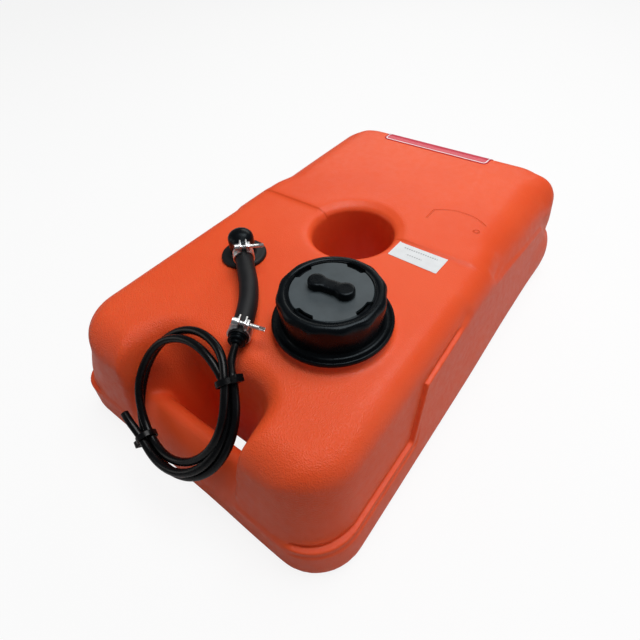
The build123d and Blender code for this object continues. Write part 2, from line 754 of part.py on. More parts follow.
deck_edge = tank_length / 2 - rear_ledge - end_slope * tank_height
shoulder_start = deck_edge - rear_shoulder * tan(radians(45 - end_draft / 2))
with BuildPart() as rear_band:
    with BuildSketch(Plane.YZ.offset(band_centre_x - band_width / 2)):
        with BuildLine():
            middle = (shoulder_start, tank_height - rear_shoulder)
            inner_arc = CenterArc(middle, rear_shoulder + band_gap, 90, -band_wrap)
            outer_arc = CenterArc(middle, rear_shoulder + band_gap + band_thickness, 90, -band_wrap)
            Line(inner_arc @ 1, outer_arc @ 1)
            Polyline(
                outer_arc @ 0, (shoulder_start - band_flat, tank_height + band_gap + band_thickness),
                (shoulder_start - band_flat, tank_height + band_gap), inner_arc @ 0,
            )
        make_face()
    extrude(amount=band_width)
finish(rear_band.part, "rear_band")
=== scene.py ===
"""Portable outboard fuel tank: blow-moulded body, vented screw cap, outlet with a clamped hose,
coiled fuel line and two film labels. Metres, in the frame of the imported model."""
from math import cos, pi, radians, sin, tan

import bmesh
import bpy
from mathutils import Matrix, Vector


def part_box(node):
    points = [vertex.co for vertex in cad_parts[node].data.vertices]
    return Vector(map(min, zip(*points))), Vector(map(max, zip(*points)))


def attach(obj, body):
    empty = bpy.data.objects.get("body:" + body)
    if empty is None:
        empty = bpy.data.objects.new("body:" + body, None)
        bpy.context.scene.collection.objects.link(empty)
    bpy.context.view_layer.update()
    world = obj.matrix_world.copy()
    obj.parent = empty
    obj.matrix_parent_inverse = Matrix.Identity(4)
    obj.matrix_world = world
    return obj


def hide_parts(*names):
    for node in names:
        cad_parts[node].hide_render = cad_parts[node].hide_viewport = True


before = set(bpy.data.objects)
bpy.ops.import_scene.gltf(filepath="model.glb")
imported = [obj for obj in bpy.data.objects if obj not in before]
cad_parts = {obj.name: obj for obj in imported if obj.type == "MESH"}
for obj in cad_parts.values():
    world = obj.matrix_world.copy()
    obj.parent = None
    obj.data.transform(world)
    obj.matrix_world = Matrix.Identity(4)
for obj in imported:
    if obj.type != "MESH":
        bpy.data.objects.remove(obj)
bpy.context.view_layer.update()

# ---- Room ------------------------------------------------------------------
# A packshot table: white sweep under the tank, one soft lamp overhead, weaker ones behind and on
# both sides, and a faint cool room light, so that the deck is bright and the front a deep red.
camera_place = Vector((0.20794, -0.29055, 0.37708))
camera_yaw, camera_pitch, camera_roll = 0.70651, 0.80938, -0.08223
film_width, focal_length = 36, 24.889
shift_across, shift_up = 0.0009, -0.0051
forward = Vector((
    -sin(camera_yaw) * cos(camera_pitch), cos(camera_yaw) * cos(camera_pitch), -sin(camera_pitch)))
level_right = Vector((cos(camera_yaw), sin(camera_yaw), 0))
level_up = level_right.cross(forward)
camera_right = level_right * cos(camera_roll) + level_up * sin(camera_roll)
camera_up = level_up * cos(camera_roll) - level_right * sin(camera_roll)
lens = bpy.data.cameras.new("camera")
lens.sensor_width = film_width
lens.lens = focal_length
lens.shift_x, lens.shift_y = shift_across, shift_up
lens.clip_start = 0.01
camera = bpy.data.objects.new("camera", lens)
camera.matrix_world = Matrix((camera_right, camera_up, -forward)).transposed().to_4x4()
camera.location = camera_place
bpy.context.collection.objects.link(camera)
bpy.context.scene.camera = camera
bpy.context.scene.view_settings.view_transform = "Standard"


def soft_lamp(name, place, target, size, power, colour=(1, 1, 1)):
    light = bpy.data.lights.new(name, "AREA")
    light.color = colour
    light.shape = "RECTANGLE"
    light.size, light.size_y = size
    light.energy = power
    lamp = bpy.data.objects.new(name, light)
    lamp.location = place
    lamp.rotation_euler = (Vector(target) - Vector(place)).to_track_quat("-Z", "Y").to_euler()
    bpy.context.collection.objects.link(lamp)


warm, cool = (1, 0.97, 0.92), (0.96, 0.98, 1)
soft_lamp("overhead", (0.18, 0.24, 1.45), target=(0, 0, 0), size=(0.9, 0.9), power=17)
soft_lamp("behind", (-0.60, 1.45, 0.95), target=(0, 0.1, 0.1), size=(1.2, 0.5), power=4.8,
          colour=(1, 0.98, 0.92))
soft_lamp("left", (-1.3, -1.0, 0.55), target=(0, -0.1, 0.05), size=(0.7, 0.7), power=2.0, colour=warm)
soft_lamp("right", (1.4, 0.30, 0.5), target=(0, 0, 0.05), size=(0.9, 0.6), power=1.9, colour=cool)

room_colour, room_strength = (0.80, 0.84, 0.90, 1), 0.145
world = bpy.data.worlds.new("room")
bpy.context.scene.world = world
world.use_nodes = True
sky, sky_links = world.node_tree.nodes, world.node_tree.links
sky.clear()
room_light, seen_white = sky.new("ShaderNodeBackground"), sky.new("ShaderNodeBackground")
room_light.inputs["Color"].default_value = room_colour
room_light.inputs["Strength"].default_value = room_strength
seen_white.inputs["Color"].default_value = (1, 1, 1, 1)
seen_white.inputs["Strength"].default_value = 1.0
rays, either, blend, out = (sky.new(kind) for kind in (
    "ShaderNodeLightPath", "ShaderNodeMath", "ShaderNodeMixShader", "ShaderNodeOutputWorld"))
either.operation = "MAXIMUM"
sky_links.new(rays.outputs["Is Camera Ray"], either.inputs[0])
sky_links.new(rays.outputs["Is Transmission Ray"], either.inputs[1])
sky_links.new(either.outputs[0], blend.inputs[0])
sky_links.new(room_light.outputs[0], blend.inputs[1])
sky_links.new(seen_white.outputs[0], blend.inputs[2])
sky_links.new(blend.outputs[0], out.inputs[0])

table_radius, table_drop = 3.0, 0.0006
felt_grey, paint_grey, glow_share = (0.62, 0.62, 0.62, 1), (0.9, 0.9, 0.9, 1), 0.88
table_shape = bmesh.new()
bmesh.ops.create_circle(table_shape, cap_ends=True, segments=96, radius=table_radius)
table_mesh = bpy.data.meshes.new("table")
table_shape.to_mesh(table_mesh)
table_shape.free()
table = bpy.data.objects.new("table", table_mesh)
bpy.context.collection.objects.link(table)
table_mesh.transform(Matrix.Translation((0, 0, -table_drop)))
table_finish = bpy.data.materials.new("white_table")
table_finish.use_nodes = True
nodes, links = table_finish.node_tree.nodes, table_finish.node_tree.links
nodes.remove(nodes["Principled BSDF"])
felt, paint, glow = (nodes.new(kind) for kind in (
    "ShaderNodeBsdfDiffuse", "ShaderNodeBsdfDiffuse", "ShaderNodeEmission"))
felt.inputs["Color"].default_value = felt_grey
paint.inputs["Color"].default_value = paint_grey
glow.inputs["Strength"].default_value = 1.0
ray, shown, mix = (nodes.new(kind) for kind in (
    "ShaderNodeLightPath", "ShaderNodeMixShader", "ShaderNodeMixShader"))
shown.inputs[0].default_value = glow_share
links.new(paint.outputs[0], shown.inputs[1])
links.new(glow.outputs[0], shown.inputs[2])
links.new(ray.outputs["Is Camera Ray"], mix.inputs[0])
links.new(felt.outputs[0], mix.inputs[1])
links.new(shown.outputs[0], mix.inputs[2])
links.new(mix.outputs[0], nodes["Material Output"].inputs["Surface"])
table_mesh.materials.append(table_finish)


# ---- Tank body -------------------------------------------------------------
# One hollow blow-moulded piece of orange-red polyethylene, about 4 mm thick. The parison is blown
# against a grained mould, so every edge comes out soft and the skin has a fine pebbled satin grain.
filler = Vector((0.0603, -0.1016, 0))
outlet = Vector((-0.064, -0.075, 0))
rear_deck, front_deck, boss_top, neck_top = 0.116, 0.114, 0.121, 0.139
neck_radius, neck_bore = 0.036, 0.0315
grommet_hole = 0.011
skin_grid = 0.0024
cut_margin, hole_margin = 0.0001, 0.0004


def loose_piece(shape, name):
    """Unfinished object of a bmesh."""
    mesh = bpy.data.meshes.new(name)
    shape.to_mesh(mesh)
    shape.free()
    piece = bpy.data.objects.new(name, mesh)
    bpy.context.collection.objects.link(piece)
    return piece


def shade_smooth(mesh):
    for face in mesh.polygons:
        face.use_smooth = True


def piece_from(shape, name, body, *stands_for):
    """Make a finished object of a bmesh and hang it on a body."""
    piece = loose_piece(shape, name)
    shade_smooth(piece.data)
    piece.data.set_sharp_from_angle(angle=radians(40))
    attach(piece, body)
    if stands_for:
        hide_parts(*stands_for)
    return piece


def settled(piece, *modifiers):
    """Apply modifiers, given as (kind, settings), to a piece's mesh."""
    for kind, settings in modifiers:
        modifier = piece.modifiers.new(kind.lower(), kind)
        for key, value in settings.items():
            setattr(modifier, key, value)
    now = bpy.context.evaluated_depsgraph_get()
    mesh = bpy.data.meshes.new_from_object(piece.evaluated_get(now))
    piece.modifiers.clear()
    piece.data = mesh
    shade_smooth(mesh)


def coat(piece, finish):
    """Give a piece one finish all over."""
    piece.data.materials.clear()
    piece.data.materials.append(finish)


def flat_distance(point, axis):
    return Vector((point.x - axis.x, point.y - axis.y)).length


# the outer skin alone: neck cut off, grommet hole closed, inner wall dropped, then one even net
moulding = bmesh.new()
moulding.from_mesh(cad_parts["tank_shell"].data)
bmesh.ops.remove_doubles(moulding, verts=moulding.verts, dist=1e-5)
bmesh.ops.bisect_plane(
    moulding, geom=moulding.verts[:] + moulding.edges[:] + moulding.faces[:],
    plane_co=(0, 0, boss_top + cut_margin), plane_no=(0, 0, 1), clear_outer=True)
hole_wall = [
    face for face in moulding.faces if abs(face.normal.z) < 0.3
    and all(flat_distance(vert.co, outlet) < grommet_hole + hole_margin for vert in face.verts)]
bmesh.ops.delete(moulding, geom=hole_wall, context="FACES")
open_edges = [edge for edge in moulding.edges if edge.is_boundary]
bmesh.ops.holes_fill(moulding, edges=open_edges, sides=0)
seed = max(moulding.verts, key=lambda vert: vert.co.x)
outer_verts, fresh = {seed}, [seed]
while fresh:
    for edge in fresh.pop().link_edges:
        for vert in edge.verts:
            if vert not in outer_verts:
                outer_verts.add(vert)
                fresh.append(vert)
inner_verts = [vert for vert in moulding.verts if vert not in outer_verts]
bmesh.ops.delete(moulding, geom=inner_verts, context="VERTS")
tank = piece_from(moulding, "tank_body", "tank", "tank_shell")
settled(tank, ("REMESH", {"mode": "VOXEL", "voxel_size": skin_grid, "use_smooth_shade": True}))

half_width, half_length, tub_corner = 0.153, 0.242, 0.042
side_slope, end_slope = tan(radians(6)), tan(radians(3))
ledge_line = [Vector(point) for point in (
    (-0.40, 0.038), (-0.116, 0.038), (-0.092, 0.088), (-0.016, 0.096), (0.40, 0.096))]


def smoothstep(value, low, high):
    share = max(0.0, min(1.0, (value - low) / (high - low)))
    return share * share * (3 - 2 * share)


def from_outline(point):
    """Distance inside the drafted outline at a point's height, and the outward normal there."""
    side = Vector((1 if point.x > 0 else -1, 1 if point.y > 0 else -1))
    gap = Vector((abs(point.x) - half_width + side_slope * point.z + tub_corner,
                  abs(point.y) - half_length + end_slope * point.z + tub_corner))
    if gap.x > 0 and gap.y > 0:
        reach = gap.length
        normal = gap / reach
    else:
        reach = max(gap)
        normal = Vector((1, 0)) if gap.x > gap.y else Vector((0, 1))
    return tub_corner - reach, Vector((normal.x * side.x, normal.y * side.y, 0))


def above_ledge(point):
    """Signed distance to the ledge line as seen from the side, and the direction away from it."""
    here = Vector((point.y, point.z))
    spots = [a + (b - a) * max(0.0, min(1.0, (here - a).dot(b - a) / (b - a).length_squared))
             for a, b in zip(ledge_line, ledge_line[1:])]
    away = here - min(spots, key=lambda spot: (here - spot).length)
    if away.y < 0 or (away.y == 0 and away.x > 0):
        return -away.length, Vector((0, -away.x, -away.y)).normalized()
    return away.length, Vector((0, away.x, away.y)).normalized()


def at_corner(normal):
    """1 where the wall faces halfway between side and end, 0 on the flat walls."""
    return 4 * normal.x ** 2 * normal.y ** 2


# behind the saddles each side shoulder is one round arc, which starts higher at the right rear corner
shoulder_foot, corner_lift, shaped_above = 0.080, 0.014, 0.07
least_stretch, most_stretch = 0.75, 1.35
behind_saddle, right_corner, facing_side = (0.044, 0.075), (0.180, 0.210), (0.45, 0.98)
shaped = bmesh.new()
shaped.from_mesh(tank.data)
for vert in shaped.verts:
    if vert.co.y < behind_saddle[0] or vert.co.z < shaped_above:
        continue
    inset, normal = from_outline(vert.co)
    arc_foot = shoulder_foot + corner_lift * smoothstep(vert.co.y, *right_corner) * (vert.co.x > 0)
    arc = rear_deck - arc_foot
    share = smoothstep(vert.co.y, *behind_saddle) * smoothstep(abs(normal.x), *facing_side)
    if inset < arc and vert.co.z > arc_foot:
        reach = Vector((arc - inset, vert.co.z - arc_foot))
        stretch = arc / reach.length
        if least_stretch < stretch < most_stretch:
            vert.co += normal * reach.x * (stretch - 1) * share
            vert.co.z += reach.y * (stretch - 1) * share

# low on the walls the right flank flares a little and both rear corners belly out
outer_skin, flare_out, belly_out = 0.012, 0.0013, 0.0040
flare_height, flare_back, flare_right = (0.02, 0.06), (-0.02, 0.10), (0.02, 0.10)
belly_rise, belly_fall, belly_back, belly_side = (-0.002, 0.028), (0.034, 0.056), (0.15, 0.205), (0.3, 0.9)
for vert in shaped.verts:
    inset, normal = from_outline(vert.co)
    if inset < outer_skin:
        flare = (1 - smoothstep(vert.co.z, *flare_height)) * (1 - smoothstep(vert.co.y, *flare_back)) \
            * smoothstep(vert.co.x, *flare_right)
        belly = smoothstep(vert.co.z, *belly_rise) * (1 - smoothstep(vert.co.z, *belly_fall))
        share = smoothstep(vert.co.y, *belly_back) * smoothstep(abs(normal.x), *belly_side)
        vert.co += normal * (flare_out * flare + belly_out * share * belly)
shaped.to_mesh(tank.data)
shaped.free()
settled(tank, ("SMOOTH", {"factor": 0.5, "iterations": 5}))

# a crease runs back from each saddle, sinking slowly and then faster round the rear corner
crease_top, crease_slope, crease_from, slope_to = 0.0935, 0.125, 0.038, 0.17
crease_drop, drop_back, crease_in = 0.031, (0.168, 0.212), 0.0019
crease_back, crease_side, crease_skin = (0.036, 0.055), (0.55, 0.9), 0.02
edge_half, waist_from, waist_to = 0.0012, 0.002, 0.026
shaped = bmesh.new()
shaped.from_mesh(tank.data)
for vert in shaped.verts:
    inset, normal = from_outline(vert.co)
    if vert.co.y > crease_back[0] and inset < crease_skin:
        foot = crease_top - crease_slope * (min(vert.co.y, slope_to) - crease_from) \
            - crease_drop * smoothstep(vert.co.y, *drop_back)
        step = smoothstep(vert.co.z, foot - edge_half, foot + edge_half) \
            * (1 - smoothstep(vert.co.z, foot + waist_from, foot + waist_to))
        share = smoothstep(vert.co.y, *crease_back) * smoothstep(abs(normal.x), *crease_side)
        vert.co -= normal * crease_in * step * share

# the tub's lip at the ledge: a crisp step with a fine groove behind it, as deep as the upper body
# stands in, which is more where its front leans back
lip_fades, lip_top, lip_near, lip_faces = (-0.040, -0.024), 0.1, (0.004, 0.007), (0.12, 0.35)
lip_deepest, lip_outermost = 0.010, -0.003
hood_base, hood_height, hood_lean = 0.024, 0.09, 0.012
side_step, front_step, step_rounding, corner_loss = 0.0075, 0.004, 0.004, 0.2
groove_depth, groove_place, groove_half = 0.0007, 0.0006, 0.0022


def by_lip(point):
    """Inset, outward normal, distance above the ledge and its direction, for a point near the lip."""
    if point.y > lip_fades[1] or point.z > lip_top:
        return None
    inset, normal = from_outline(point)
    above, away = above_ledge(point)
    close = lip_outermost < inset < lip_deepest and abs(above) < lip_near[1]
    if close and abs(normal.x) > lip_faces[0]:
        return inset, normal, above, away
    return None


near = {edge for face in shaped.faces if by_lip(face.calc_center_median()) for edge in face.edges}
bmesh.ops.subdivide_edges(shaped, edges=list(near), cuts=1, use_grid_fill=True)
for vert in shaped.verts:
    lip = by_lip(vert.co)
    if not lip:
        continue
    inset, normal, above, away = lip
    lean = hood_lean * (vert.co.z - hood_base) / hood_height
    depth = side_step * abs(normal.x) + (front_step + lean) * abs(normal.y) - step_rounding
    depth *= 1 - corner_loss * at_corner(normal)
    along = above + inset - depth / 2
    crisp_inset = max(0.0, min(depth, along + depth / 2))
    crisp_above = along - crisp_inset + depth / 2
    groove = groove_depth * max(0.0, 1 - abs(along - depth / 2 - groove_place) / groove_half)
    hold = smoothstep(abs(normal.x), *lip_faces) * (1 - smoothstep(abs(above), *lip_near)) \
        * (1 - smoothstep(vert.co.y, *lip_fades))
    vert.co += (normal * (inset - crisp_inset - groove) + away * (crisp_above - above)) * hold

# the left front corner is blown out a little fuller than the right one
corner_out, corner_rear, corner_fade, corner_skin = 0.0056, -0.1, (0.050, 0.092), (0.014, 0.022)
for vert in shaped.verts:
    inset, normal = from_outline(vert.co)
    if vert.co.x < 0 and vert.co.y < corner_rear and inset < corner_skin[1]:
        share = (1 - smoothstep(vert.co.z, *corner_fade)) * (1 - smoothstep(inset, *corner_skin))
        vert.co += normal * corner_out * at_corner(normal) * share
shaped.to_mesh(tank.data)
shaped.free()
shade_smooth(tank.data)


def new_finish(name, settings):
    """New material, and its nodes, links, shader and coordinates, which the helpers below work on."""
    finish = bpy.data.materials.new(name)
    finish.use_nodes = True
    tree = finish.node_tree
    shader = tree.nodes["Principled BSDF"]
    for key, value in settings.items():
        shader.inputs[key].default_value = value
    return finish, tree.nodes, tree.links, shader, tree.nodes.new("ShaderNodeTexCoord")


def noise(scale, detail=3.0):
    cloud = nodes.new("ShaderNodeTexNoise")
    cloud.inputs["Scale"].default_value = scale
    cloud.inputs["Detail"].default_value = detail
    links.new(place.outputs["Object"], cloud.inputs["Vector"])
    return cloud.outputs["Fac"]


def ramp(source, low, high):
    """Colour between two stops, each given as (place, colour)."""
    scale = nodes.new("ShaderNodeValToRGB")
    for element, (at, colour) in zip(scale.color_ramp.elements, (low, high)):
        element.position = at
        element.color = (*colour, 1)
    links.new(source, scale.inputs["Fac"])
    return scale.outputs["Color"]


def bump(height, strength, distance, below=None):
    relief = nodes.new("ShaderNodeBump")
    relief.inputs["Strength"].default_value = strength
    relief.inputs["Distance"].default_value = distance
    links.new(height, relief.inputs["Height"])
    if below:
        links.new(below, relief.inputs["Normal"])
    return relief.outputs["Normal"]


def coloured(scale, low, high, detail=3.0):
    """Let the base colour drift in clouds between two stops."""
    links.new(ramp(noise(scale, detail), low, high), skin.inputs["Base Color"])


def roughened(scale, low, high, detail=3.0):
    """Let the roughness drift in clouds between two values."""
    drift = ramp(noise(scale, detail), (0.3, (low,) * 3), (0.7, (high,) * 3))
    links.new(drift, skin.inputs["Roughness"])


def grained(scale, strength, depth, detail=3.0, below=None):
    """Lay a fine grain over the finish and over any relief below it."""
    links.new(bump(noise(scale, detail), strength, depth, below), skin.inputs["Normal"])


def sums(operation, *values):
    """Math node over sockets and plain numbers."""
    node = nodes.new("ShaderNodeMath")
    node.operation = operation
    for socket, value in zip(node.inputs, values):
        if isinstance(value, (int, float)):
            socket.default_value = value
        else:
            links.new(value, socket)
    return node.outputs[0]


def hypotenuse(a, b):
    return sums("SQRT", sums("ADD", sums("POWER", a, 2.0), sums("POWER", b, 2.0)))


def rises(value, low, high):
    """0 below low, 1 above high, smooth between."""
    node = nodes.new("ShaderNodeMapRange")
    node.interpolation_type = "SMOOTHSTEP"
    node.inputs["From Min"].default_value = low
    node.inputs["From Max"].default_value = high
    links.new(value, node.inputs["Value"])
    return node.outputs["Result"]


def within(value, low, high, edge):
    """1 between low and high, 0 outside, with edges that soft."""
    return sums("MULTIPLY", rises(value, low - edge, low + edge),
                sums("SUBTRACT", 1.0, rises(value, high - edge, high + edge)))


def along_axes():
    """Coordinates towards +X, +Y and +Z."""
    axes = nodes.new("ShaderNodeSeparateXYZ")
    links.new(place.outputs["Object"], axes.inputs[0])
    return axes.outputs


orange_deep, orange_light = (0.84, 0.088, 0.020), (0.88, 0.103, 0.026)
tank_plastic, nodes, links, skin, place = new_finish("blown_polyethylene", {
    "IOR": 1.48, "Specular IOR Level": 0.28, "Subsurface Weight": 0.15,
    "Subsurface Radius": (1.0, 0.25, 0.1), "Subsurface Scale": 0.006})
coloured(9.0, (0.35, orange_deep), (0.65, orange_light))
roughened(150.0, 0.34, 0.48, detail=4.0)

# low relief of the mould: the line where the two decks meet, a plain arch with one leg, and a ring
line_half, line_soft = 0.0007, 0.0004
deck_line, deck_line_fades, deck_line_loss = (0.0245, 0.0275), (0.040, 0.090), 0.75
arch_x, arch_y, arch_radius, arch_from = 0.081, 0.0545, 0.042, (0.0865, 0.0875)
leg_x, leg_from, leg_to, leg_soft = 0.0530, 0.070, 0.087, 0.0006
ring_x, ring_y, ring_inner, ring_outer = 0.104, 0.074, 0.0021, 0.0030
deck_rise, marks_depth, relief_depth = (0.104, 0.110), 0.9, 0.0009
east, north, height = along_axes()
on_deck = rises(height, *deck_rise)
from_arch = hypotenuse(sums("SUBTRACT", east, arch_x), sums("SUBTRACT", north, arch_y))
arch = sums("MULTIPLY", within(from_arch, arch_radius - line_half, arch_radius + line_half, line_soft),
            rises(north, *arch_from))
arch_leg = sums("MULTIPLY", within(east, leg_x - line_half, leg_x + line_half, line_soft),
                within(north, leg_from, leg_to, leg_soft))
from_ring = hypotenuse(sums("SUBTRACT", east, ring_x), sums("SUBTRACT", north, ring_y))
deck_ring = within(from_ring, ring_inner, ring_outer, line_soft)
marks = sums("MAXIMUM", sums("MAXIMUM", arch, arch_leg), deck_ring)
fading = sums("SUBTRACT", 1.0, sums("MULTIPLY", rises(east, *deck_line_fades), deck_line_loss))
relief = sums("MULTIPLY", on_deck, sums("SUBTRACT", sums("MULTIPLY", rises(north, *deck_line), fading),
                                        sums("MULTIPLY", marks, marks_depth)))
waves = bump(noise(26.0, 1.0), 0.22, 0.0012)
lines = bump(relief, 1.0, relief_depth, waves)

# pebbled grain, coarser on the front deck
pebble_scale, pebble_depth, fine_grain, coarse_grain = 950.0, 0.0007, 0.16, 0.4
coarse_ends, coarse_rise = (-0.190, -0.100), (0.055, 0.085)
pebbles = nodes.new("ShaderNodeTexVoronoi")
pebbles.feature = "F1"
pebbles.inputs["Scale"].default_value = pebble_scale
links.new(place.outputs["Object"], pebbles.inputs["Vector"])
coarse = sums("MULTIPLY", sums("SUBTRACT", 1.0, rises(north, *coarse_ends)), rises(height, *coarse_rise))
grain_share = sums("ADD", fine_grain, sums("MULTIPLY", coarse, coarse_grain))
grain = bump(sums("MULTIPLY", pebbles.outputs["Distance"], grain_share), 1.0, pebble_depth, lines)
grained(1100.0, 0.22, 0.0003, detail=2.0, below=grain)
coat(tank, tank_plastic)

# ---- Filler neck -----------------------------------------------------------
# The moulding's threaded neck, which stands on the round boss under the cap: a plain tube with a
# flat sealing rim and a coarse square thread of a good turn and a half, clear of the cap's bore.
thread_height, thread_width, thread_pitch, thread_turns = 0.00033, 0.0022, 0.008, 1.6
thread_root, thread_round, thread_lift, thread_steps = 0.0005, 0.0004, 0.002, 64
rim_round, neck_depth = 0.0008, 0.004


def spun(outline, name, body, *stands_for, steps=128, centre=(0, 0, 0)):
    """Piece turned from a closed outline of (radius, height) points about an upright axis."""
    shape = bmesh.new()
    ring = [shape.verts.new((radius, 0, height)) for radius, height in outline]
    edges = [shape.edges.new((a, b)) for a, b in zip(ring, ring[1:] + ring[:1])]
    bmesh.ops.spin(shape, geom=ring + edges, cent=(0, 0, 0), axis=(0, 0, 1), angle=2 * pi, steps=steps,
                   use_merge=True)
    bmesh.ops.remove_doubles(shape, verts=shape.verts, dist=1e-6)
    bmesh.ops.recalc_face_normals(shape, faces=shape.faces)
    bmesh.ops.translate(shape, verts=shape.verts, vec=centre)
    return piece_from(shape, name, body, *stands_for)


neck = spun([
    (neck_bore, front_deck - neck_depth), (neck_bore, neck_top - rim_round),
    (neck_bore + rim_round, neck_top), (neck_radius - rim_round, neck_top),
    (neck_radius, neck_top - rim_round), (neck_radius, boss_top - 0.001),
    (neck_radius, front_deck - neck_depth),
], "filler_neck", "tank", centre=filler)
coat(neck, tank_plastic)
turn = bmesh.new()
profile = [turn.verts.new((radius, 0, height)) for radius, height in (
    (neck_radius - thread_root, 0), (neck_radius + thread_height, thread_round),
    (neck_radius + thread_height, thread_width - thread_round), (neck_radius - thread_root, thread_width))]
start_face = turn.faces.new(profile)
bmesh.ops.spin(
    turn, geom=[start_face] + profile + list(start_face.edges), cent=(0, 0, 0), axis=(0, 0, 1),
    dvec=(0, 0, thread_pitch / thread_steps), angle=2 * pi * thread_turns,
    steps=int(thread_steps * thread_turns))
bmesh.ops.recalc_face_normals(turn, faces=turn.faces)
bmesh.ops.translate(turn, verts=turn.verts, vec=filler + Vector((0, 0, boss_top + thread_lift)))
thread = piece_from(turn, "neck_thread", "tank")
coat(thread, tank_plastic)

# ---- Filler cap ------------------------------------------------------------
# Injection-moulded black cap: a drum with shallow finger lobes, a dished skirt with a rolled rim,
# and a raised collar round the insert. Fine spark-eroded texture, satin.
cap_foot, cap_top = 0.1214, 0.1538
lobe_count, lobe_depth, lobe_rise, lobe_end = 12, 0.0012, (0.010, 0.026), 0.0025
drum_inside, drum_foot, drum_end = 0.0385, 0.0055, 0.0003
insert_radius, insert_top = 0.032, 0.1532
slot_inner, slot_outer, slot_half, slot_end = 0.0287, 0.0336, radians(15.5), radians(2.5)
slot_directions = [radians(angle) for angle in (171, 87.5, -4.5, -93.5)]
cap_outline = [
    # skirt and its rolled rim
    (0.0365, cap_foot), (0.0468, cap_foot), (0.0479, cap_foot + 0.0003), (0.0485, cap_foot + 0.0010),
    (0.0486, cap_foot + 0.0022), (0.0483, cap_foot + 0.0033), (0.0477, cap_foot + 0.0040),
    (0.0469, cap_foot + 0.0042), (0.0461, cap_foot + 0.0039), (0.0450, cap_foot + 0.0033),
    (0.0436, cap_foot + 0.0031), (0.0422, cap_foot + 0.0034), (0.0410, cap_foot + 0.0043),
    # drum, widening upwards, and its rounded shoulder
    (0.0403, cap_foot + 0.0058), (0.0401, cap_foot + 0.0080), (0.0404, cap_foot + 0.0125),
    (0.0409, cap_foot + 0.0180), (0.0413, cap_foot + 0.0240), (0.0415, cap_foot + 0.0272),
    (0.0413, cap_foot + 0.0290), (0.0406, cap_foot + 0.0307), (0.0394, cap_foot + 0.0319),
    # top, with a fine groove before the collar
    (0.0380, cap_top), (0.0362, cap_top), (0.0352, cap_top - 0.0002), (0.0346, cap_top - 0.0008),
    (0.0338, cap_top - 0.0008), (0.0332, cap_top - 0.0002), (0.0326, cap_top - 0.0001),
    # seat of the insert, well of the vent and the cap's ceiling
    (0.0322, cap_top - 0.0006), (0.0322, cap_top - 0.0031), (0.0300, cap_top - 0.0031),
    (0.0300, cap_top - 0.0101), (0.0060, cap_top - 0.0101), (0.0060, cap_top - 0.0126),
    (0.0365, cap_top - 0.0126),
]
cap = spun(cap_outline, "cap_drum", "cap", "filler_cap", steps=192)
for vert in cap.data.vertices:
    direction = Vector((vert.co.x, vert.co.y, 0))
    if direction.length > drum_inside and cap_foot + drum_foot < vert.co.z < cap_top - drum_end:
        direction.normalize()
        swing = 0.5 + 0.5 * cos(lobe_count * direction.to_2d().angle_signed(Vector((1, 0))))
        fade = smoothstep(vert.co.z - cap_foot, *lobe_rise) * min(1, (cap_top - vert.co.z) / lobe_end)
        vert.co += direction * lobe_depth * (0.5 - swing) * fade


def beside_slot(vert):
    """How far a point lies inside the nearest slot's arc, from 0 at its end to 1."""
    angle = Vector((1, 0)).angle_signed(Vector((vert.co.x, vert.co.y)), 0) * -1
    off = min(abs((angle - direction + pi) % (2 * pi) - pi) for direction in slot_directions)
    return max(0.0, min(1.0, (slot_half - off) / slot_end))


for vert in cap.data.vertices:
    radius = Vector((vert.co.x, vert.co.y)).length
    if insert_radius < radius < slot_outer and vert.co.z > cap_top - 0.002:
        push = 1 + (slot_outer / radius - 1) * beside_slot(vert)
        vert.co.x, vert.co.y = vert.co.x * push, vert.co.y * push
cap.data.transform(Matrix.Translation(filler))

cap_plastic, nodes, links, skin, place = new_finish("textured_black", {
    "Specular IOR Level": 0.15, "Specular Tint": (0.78, 0.92, 1.0, 1)})
coloured(60.0, (0.3, (0.0018, 0.0024, 0.0032)), (0.75, (0.0034, 0.0043, 0.0056)))
roughened(90.0, 0.22, 0.34)
grained(1500.0, 0.22, 0.0002, detail=2.0)
coat(cap, cap_plastic)

# ---- Cap insert ------------------------------------------------------------
# A separate blue-grey disc snapped into the cap, held by four claws whose windows show as dark
# arc slots across its edge. Matte, with a faint dust bloom.
insert_edge, insert_round, insert_thickness, insert_bore = 0.0319, 0.0004, 0.0025, 0.0036
insert_foot = insert_top - insert_thickness
disc = spun([
    (insert_bore, insert_foot), (insert_bore, insert_top), (0.0270, insert_top),
    (insert_edge - insert_round, insert_top), (insert_edge, insert_top - insert_round),
    (insert_edge, insert_foot), (0.0270, insert_foot),
], "insert_disc", "cap", "cap_insert", steps=288)
for vert in disc.data.vertices:
    radius = Vector((vert.co.x, vert.co.y)).length
    if radius > 0.03:
        pull = 1 - (1 - slot_inner / radius) * beside_slot(vert)
        vert.co.x, vert.co.y = vert.co.x * pull, vert.co.y * pull
disc.data.set_sharp_from_angle(angle=radians(35))
disc.data.transform(Matrix.Translation(filler))

insert_plastic, nodes, links, skin, place = new_finish("dusty_blue_grey", {"Roughness": 0.52})
coloured(70.0, (0.3, (0.029, 0.041, 0.047)), (0.75, (0.050, 0.067, 0.076)), detail=5.0)
grained(1800.0, 0.2, 0.0002, detail=2.0)
coat(disc, insert_plastic)

# ---- Vent knob -------------------------------------------------------------
# Peanut-shaped thumb knob of the vent screw: two round ends and a waist, with softly rolled edges,
# moulded in the same black plastic as the cap.
knob_foot, knob_height, knob_turn = 0.1534, 0.0064, radians(8)
knob_end, knob_waist, knob_reach = 0.0075, 0.0053, 0.0119
knob_taper, waist_share = 0.96, 0.94


def add_round(shape, radius, depth, matrix, top_radius=None, segments=64):
    """Add a capped cylinder, or a cone with another radius at its top."""
    bmesh.ops.create_cone(
        shape, cap_ends=True, segments=segments, radius1=radius, radius2=top_radius or radius,
        depth=depth, matrix=matrix)


